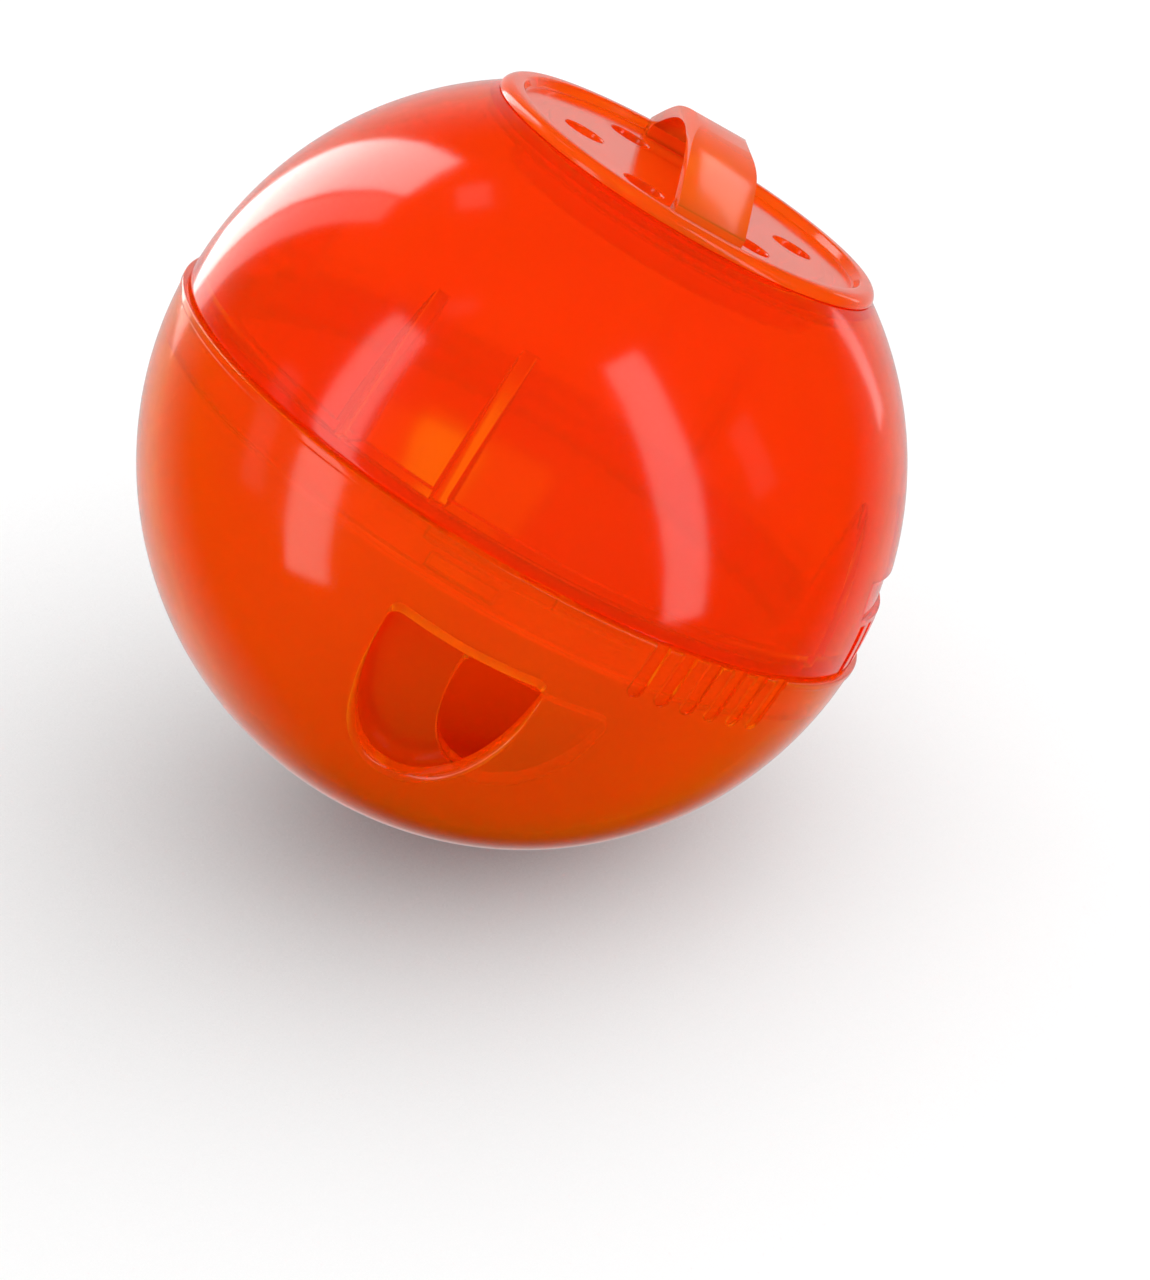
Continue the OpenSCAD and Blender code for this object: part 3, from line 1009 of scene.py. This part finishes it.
@dataclass
class PlugCap(Piece):
    """The lid: a rounded rim, a sunk disc with its vents, and the plug under it."""

    rim_r: float = 20.8
    rim_low_z: float = 31.443
    rim_top_z: float = 32.673
    rim_in_r: float = 18.8
    wall_foot_r: float = 18.4
    disc_top_z: float = 31.723
    disc_low_z: float = 30.223
    plug_r: float = 16.75
    plug_in_r: float = 15.45
    plug_z: float = 26.023
    ring_r: float = 16.93
    ring_heights: Point = (28.853, 29.853)
    vent_r: float = 2.075
    vent_circle_r: float = 11.63
    ring_slope: float = 0.15
    vents: int = 6
    vent_flare: float = 0.2
    vent_steps: int = 64
    rim_step_deg: float = 8.0
    rim_steps: int = 10

    def vent_tool(self) -> Solid:
        """Makes the tool for all the vents, each with a slightly flared mouth."""
        flare = self.vent_flare
        shape = [
            (self.vent_r, self.disc_low_z - 1),
            (self.vent_r, self.disc_top_z - flare),
            (self.vent_r + 0.3 * flare, self.disc_top_z - 0.3 * flare),
            (self.vent_r + flare, self.disc_top_z + 0.1 * flare),
            (self.vent_r + flare, self.disc_top_z + 1),
        ]
        spokes = [2 * math.pi * i / self.vent_steps for i in range(self.vent_steps)]
        rings = [[Vector((r * math.cos(a), r * math.sin(a), z)) for a in spokes] for r, z in shape]
        first = Bench.tower("vent_tool", rings)
        first.data.transform(Matrix.Translation((0, -self.vent_circle_r, 0)))
        first.data.transform(Matrix.Rotation(math.radians(180 / self.vents), 4, "Z"))
        turns = [360 * i / self.vents for i in range(1, self.vents)]
        return Bench.together(Bench.copies(first, turns))

    def model(self) -> Solid:
        """Turns the cap and drills the vents."""
        bulge = self.rim_top_z - self.rim_low_z
        angles = [math.radians(self.rim_step_deg * i) for i in range(1, self.rim_steps + 1)]
        side = [
            Corner(self.rim_r - bulge * (1 - math.sin(a)), self.rim_low_z + bulge * math.cos(a))
            for a in angles
        ]
        corners = [
            Corner(0.0, self.disc_top_z),
            Corner(self.wall_foot_r - 2.0, self.disc_top_z),
            Corner(self.wall_foot_r, self.disc_top_z, 0.35),
            Corner(self.rim_in_r, self.rim_top_z, 0.3),
            *side,
            Corner(self.rim_r, self.rim_low_z, 0.15),
            Corner(self.rim_in_r, self.rim_low_z, 0.1),
            Corner(self.rim_in_r, self.disc_low_z, 0.3),
            Corner(self.plug_r, self.disc_low_z, 0.2),
            Corner(self.plug_r, self.ring_heights[1], 0.1),
            Corner(self.ring_r, self.ring_heights[1] - self.ring_slope, 0.1),
            Corner(self.ring_r, self.ring_heights[0] + self.ring_slope, 0.1),
            Corner(self.plug_r, self.ring_heights[0], 0.1),
            Corner(self.plug_r, self.plug_z, 0.4),
            Corner(self.plug_in_r, self.plug_z, 0.4),
            Corner(self.plug_in_r, self.disc_low_z, 0.5),
            Corner(self.plug_in_r - 1.5, self.disc_low_z),
            Corner(0.0, self.disc_low_z),
        ]
        cap = Bench.turned("cap", rounded(corners))
        Bench.work(cap, self.vent_tool(), Cut.AWAY)
        return cap


@dataclass
class StrapHandle(Piece):
    """The arched strap over the disc, with a solid foot at each end."""

    width: float = 7.2
    thickness: float = 1.3
    half_span: float = 17.8
    foot_h: float = 1.4
    foot_len: float = 2.7
    rise: float = 5.2
    corner: float = 1.5
    edge: float = 0.22
    steps: int = 60
    end_bends: int = 10
    disc_top_z: float = 31.723

    def height(self, y: float) -> float:
        """Height of the outer face over the disc."""
        return self.foot_h + self.rise * math.cos(math.pi / 2 * y / self.half_span)

    def below(self, y: float, depth: float) -> Point:
        """The point a depth below the outer face, square to it."""
        bend = math.pi / 2 / self.half_span
        slope = -self.rise * math.sin(bend * y) * bend
        run = math.sqrt(1 + slope * slope)
        return y + depth * slope / run, self.height(y) - depth / run

    def model(self) -> Solid:
        """Extrudes the arch sideways and trims it with the strap's end outline."""
        places = [self.half_span * (i / self.steps) for i in range(-self.steps, self.steps + 1)]
        arch = [(y, self.height(y)) for y in places]
        top = [(-self.half_span, 0.0), *arch, (self.half_span, 0.0)]
        foot = self.half_span - self.foot_len
        lowered = [self.below(y, self.thickness) for y in reversed(places)]
        under = [point for point in lowered if abs(point[0]) < foot - 0.05]
        inside = under[0][1]
        outline = top + [(foot, 0.0), (foot, inside)] + under + [(-foot, inside), (-foot, 0.0)]
        rings = [[Vector((x, y, z)) for y, z in outline] for x in (-self.width, self.width)]
        strap = Bench.tower("strap", rings)
        crest = self.foot_h + self.rise
        half = self.width / 2
        frame = [
            Corner(-half, -1.0),
            Corner(half, -1.0),
            Corner(half, crest, self.corner),
            Corner(-half, crest, self.corner),
        ]
        reach = self.half_span + 1
        tool = Bench.prism("strap_ends", rounded(frame, self.end_bends), (reach, -reach))
        Bench.work(strap, tool, Cut.SHARED)
        Bench.clean(strap)
        Bench.soften(strap, self.edge, 3, 32)
        strap.data.transform(Matrix.Translation((0, 0, self.disc_top_z)))
        return strap


# ---- The studio


@dataclass(frozen=True)
class SoftBox:
    """A soft studio lamp with a flat front.

    Args:
        name: Name of the lamp.
        glow: Radiance, where 1 is the backdrop's white.
        corners: The front's corners in millimetres, from one end round to the same end.
    """

    name: str
    glow: float
    corners: tuple[tuple[float, float, float], ...]

    def build(self) -> None:
        """Sets the lamp up as the rectangle that fits the corners best, facing the ball."""
        points = [Vector(corner) * METRES_PER_MM for corner in self.corners]
        middle = sum(points, Vector()) / 4
        length = (points[2] + points[3] - points[0] - points[1]) / 2
        breadth = (points[1] + points[2] - points[0] - points[3]) / 2
        back = middle.normalized()
        along = (length - back * length.dot(back)).normalized()
        across = along.cross(back)
        data = bpy.data.lights.new(self.name, "AREA")
        data.shape = "RECTANGLE"
        data.size, data.size_y = abs(breadth.dot(across)), length.dot(along)
        data.energy = self.glow * math.pi * data.size * data.size_y
        lamp = bpy.data.objects.new(self.name, data)
        bpy.context.scene.collection.objects.link(lamp)
        turn = Matrix((across, along, back)).transposed()
        lamp.matrix_world = Matrix.LocRotScale(middle, turn, None)
        lamp.visible_camera = False
        lamp.visible_transmission = False


SOFT_BOXES = (
    SoftBox("left_box", 2.4, (
        (-529, -202, 198), (-455, -266, 288), (-312, -303, -414), (-377, -149, -442),
    )),
    SoftBox("right_box", 2.5, (
        (-12, -374, 469), (35, -344, 491), (514, -310, -7), (422, -410, -121),
    )),
    SoftBox("window_light", 4.0, (
        (-92, 228, -35), (-134, 200, -65), (-190, 65, 139), (-149, 93, 169),
    )),
    SoftBox("window_edge", 1.2, (
        (-137, 198, -67), (-161, 181, -85), (-217, 46, 119), (-193, 63, 137),
    )),
    SoftBox("top_box", 1.8, (
        (57, 285, 513), (177, 285, 513), (177, 398, 430), (57, 398, 430),
    )),
    SoftBox("top_glint", 0.7, (
        (-395, 174, 417), (-343, 164, 464), (-357, 44, 480), (-413, 95, 425),
    )),
    SoftBox("left_glint", 0.3, (
        (-443, -225, 336), (-384, -229, 400), (-379, -263, 384), (-435, -255, 325),
    )),
    SoftBox("far_left_box", 0.3, (
        (-592, -16, -93), (-591, -105, -5), (-505, -102, -308), (-498, -10, -334),
    )),
    SoftBox("far_right_box", 0.3, (
        (343, -268, 412), (373, -217, 417), (518, -143, 267), (463, -268, 272),
    )),
    SoftBox("right_rim_box", 1.2, (
        (348, 298, 387), (359, 362, 317), (416, 399, 167), (456, 349, 175),
    )),
)


@dataclass(frozen=True)
class Studio:
    """Floor, backdrop, lamps and camera, with the ball leaning as it was set down.

    Args:
        up: The real upward direction in the ball's frame.
        ball_r: Radius of the shell that stands on the floor, in metres.
        eye: The camera's place.
        eye_right: The camera's rightward direction.
        eye_up: The camera's upward direction.
        lens: Focal length on a long side of a sensor's width.
        sensor: That width, in millimetres.
        floor_r: Radius of the floor.
        floor_glow: Share of the floor that shows its own level and not the lamps' light.
        floor_levels: That level where the ball hides the whole sky, and where it hides none.
        shadow_reach: Distance over which the ball shades the floor.
        shadow_lean: How far the shadow leans to the right.
    """

    up: tuple[float, float, float] = (-0.50323, -0.16724, 0.84781)
    ball_r: float = 0.038
    eye: tuple[float, float, float] = (-0.0729, -0.375005, 0.097264)
    eye_right: tuple[float, float, float] = (0.863181, -0.050803, 0.502333)
    eye_up: tuple[float, float, float] = (-0.456281, 0.347473, 0.819189)
    lens: float = 112.5
    sensor: float = 36.0
    floor_r: float = 3.0
    floor_glow: float = 0.85
    floor_levels: Point = (0.02, 1.05)
    shadow_reach: float = 0.3
    shadow_lean: float = 0.6

    def camera(self) -> None:
        """Places the camera at the photograph's viewing angle."""
        data = bpy.data.cameras.new("camera")
        data.lens = self.lens
        data.sensor_width = self.sensor
        data.sensor_fit = "AUTO"
        camera = bpy.data.objects.new("camera", data)
        bpy.context.scene.collection.objects.link(camera)
        right, up = Vector(self.eye_right), Vector(self.eye_up)
        turn = Matrix((right, up, right.cross(up))).transposed()
        camera.matrix_world = Matrix.LocRotScale(Vector(self.eye), turn, None)
        bpy.context.scene.camera = camera

    def floor(self) -> None:
        """Lays the pale floor under the leaning ball, with a painted shadow in its glow."""
        circle = bpy.ops.mesh.primitive_circle_add
        floor = Bench.added("floor", circle, vertices=96, radius=self.floor_r, fill_type="NGON")
        up = Vector(self.up).normalized()
        turn = up.to_track_quat("Z", "Y").to_matrix().to_4x4()
        floor.data.transform(Matrix.Translation(-up * self.ball_r) @ turn)
        floor.visible_glossy = False
        material = bpy.data.materials.new("pale_floor")
        material.use_nodes = True
        graph = Graph(material.node_tree)
        grain = graph.noise(600.0, 3.0, 0.0)
        paper = graph.blend(grain.above(0.5, 0.6), (0.9, 0.9, 0.9, 1), (0.93, 0.93, 0.93, 1))
        matte = graph.node("ShaderNodeBsdfDiffuse", {}, {"Color": paper})
        geometry = graph.node("ShaderNodeNewGeometry", {}, {})
        # Painted shadow: the floor's glow darkens with ambient occlusion round the ball, its normal
        # tilted so the shadow leans to the right.
        tilt = Vector(self.eye_right) * self.shadow_lean
        leaning = graph.vector("ADD", geometry.outputs["Normal"], tuple(tilt)).outputs["Vector"]
        facing = graph.node("ShaderNodeVectorMath", {"operation": "NORMALIZE"}, {0: leaning})
        inputs = {"Distance": self.shadow_reach, "Normal": facing.outputs["Vector"]}
        sky = graph.node("ShaderNodeAmbientOcclusion", {"samples": 8}, inputs)
        dark, light = ((*(level,) * 3, 1.0) for level in self.floor_levels)
        shade = graph.blend(Signal(graph, sky.outputs["AO"]), dark, light)
        glow = graph.node("ShaderNodeEmission", {}, {"Color": shade, "Strength": 1.0})
        lit = graph.mix(self.floor_glow, matte, glow)
        clear = graph.node("ShaderNodeBsdfTransparent", {}, {})
        seen = graph.mix(geometry.outputs["Backfacing"], lit, clear)
        graph.node("ShaderNodeOutputMaterial", {}, {"Surface": seen.outputs[0]})
        floor.data.materials.append(material)

    def backdrop(self) -> None:
        """Surrounds the scene with white that the ball sees through itself and past its edges."""
        world = bpy.data.worlds.new("backdrop")
        bpy.context.scene.world = world
        world.use_nodes = True
        graph = Graph(world.node_tree)
        path = graph.node("ShaderNodeLightPath", {}, {})
        where = graph.node("ShaderNodeTexCoord", {}, {}).outputs["Generated"]
        away = -Vector(self.eye).normalized()
        behind = Signal(graph, graph.vector("DOT_PRODUCT", where, tuple(away)).outputs["Value"])
        height = Signal(graph, graph.vector("DOT_PRODUCT", where, self.up).outputs["Value"])
        mirrored = behind.above(0.66, 0.6) * height.above(-0.73, 0.3) * 0.65
        glossy = Signal(graph, path.outputs["Is Glossy Ray"])
        through = Signal(graph, path.outputs["Is Transmission Ray"])
        camera = Signal(graph, path.outputs["Is Camera Ray"])
        soft = (1 - glossy) + mirrored * glossy
        strength = soft * (1 - through) * (1 - camera) + through * (1 - camera) + camera
        back = graph.node("ShaderNodeBackground", {}, {"Color": (1, 1, 1, 1), "Strength": strength})
        graph.node("ShaderNodeOutputWorld", {}, {"Surface": back.outputs[0]})

    def lamps(self) -> None:
        """Sets the two tall soft boxes, the big window light and the small ones."""
        for box in SOFT_BOXES:
            box.build()

    def light_paths(self) -> None:
        """Lets light through all the walls that lie behind each other, with none lost."""
        cycles = bpy.context.scene.cycles
        cycles.max_bounces = 64
        cycles.transmission_bounces = 64
        cycles.glossy_bounces = 64
        cycles.diffuse_bounces = 16
        cycles.blur_glossy = 0.0

    def build(self) -> None:
        """Builds the whole studio."""
        self.light_paths()
        self.camera()
        self.floor()
        self.backdrop()
        self.lamps()


def main() -> None:
    """Loads the frame and builds the ball and its studio."""
    logging.basicConfig(level=logging.INFO, format="%(message)s")
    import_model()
    bpy.context.scene.view_settings.view_transform = "Standard"
    pieces: list[Piece] = [
        LowerShell("lower_shell", "lower_half", "shell_lower", LOWER_PLASTIC),
        UpperShell("upper_shell", "upper_half", "shell_upper", UPPER_PLASTIC),
        ShutterBowl("shutter_bowl", "upper_half", "bowl", BOWL_PLASTIC),
        PlugCap("cap", "lid", "cap", CAP_PLASTIC),
        StrapHandle("strap_handle", "lid", "handle", STRAP_PLASTIC),
    ]
    for piece in pieces:
        piece.build()
    Studio().build()


if __name__ == "__main__":
    main()
